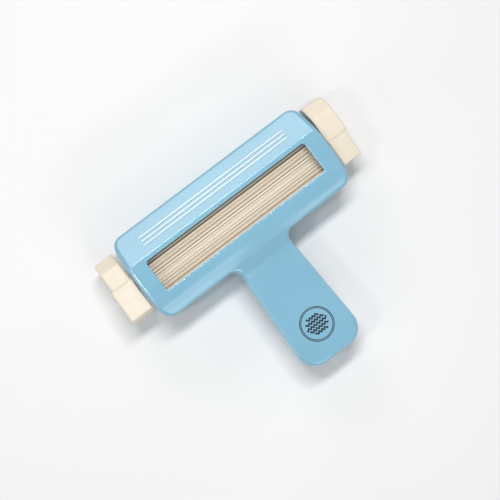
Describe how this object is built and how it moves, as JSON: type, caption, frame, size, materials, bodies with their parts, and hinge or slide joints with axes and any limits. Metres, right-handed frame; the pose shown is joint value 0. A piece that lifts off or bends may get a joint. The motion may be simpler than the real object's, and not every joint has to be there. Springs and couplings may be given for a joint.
{
  "type": "paper crimper",
  "caption": "Hand-held T-shaped paper crimper: slotted two-shell head with two meshing ribbed rollers, a stepped bar knob at each end and a flat handle.",
  "frame": {"origin": "centre of the outline seen from the front, on the plane of the flat back that the tool lies on", "axes": "+X along the rollers towards the right knob, +Y from the handle to the top of the head, +Z out of the entry window"},
  "size_m": [0.18, 0.1404, 0.0422],
  "materials": {
    "shell_plastic": "glossy pale blue",
    "ivory_plastic": "satin ivory",
    "bearing_plastic": "natural acetal",
    "steel": "ground steel"
  },
  "bodies": {
    "housing": {"front_shell": "shell_plastic", "back_shell": "shell_plastic", "shell_screws": "steel", "drive_bush_left": "bearing_plastic", "drive_bush_right": "bearing_plastic", "idler_bush_left": "bearing_plastic", "idler_bush_right": "bearing_plastic"},
    "drive": {"drive_roller": "ivory_plastic", "drive_shaft": "steel", "left_knob": "ivory_plastic", "right_knob": "ivory_plastic", "left_knob_screw": "steel", "right_knob_screw": "steel", "left_knob_cap": "ivory_plastic", "right_knob_cap": "ivory_plastic", "drive_washer_left": "bearing_plastic", "drive_washer_right": "bearing_plastic"},
    "idler": {"idler_roller": "ivory_plastic", "idler_shaft": "steel", "idler_washer_left": "bearing_plastic", "idler_washer_right": "bearing_plastic"}
  },
  "joints": [
    {"name": "drive_spin", "type": "hinge", "parent": "housing", "child": "drive", "pos_m": [0, 0.0431, 0.0252], "axis": [1, 0, 0], "continuous": true},
    {"name": "idler_spin", "type": "hinge", "parent": "housing", "child": "idler", "pos_m": [0, 0.0278, 0.0252], "axis": [1, 0, 0], "continuous": true}
  ],
  "couplings": [
    {"joint": "idler_spin", "follows": "drive_spin", "ratio": -1}
  ]
}
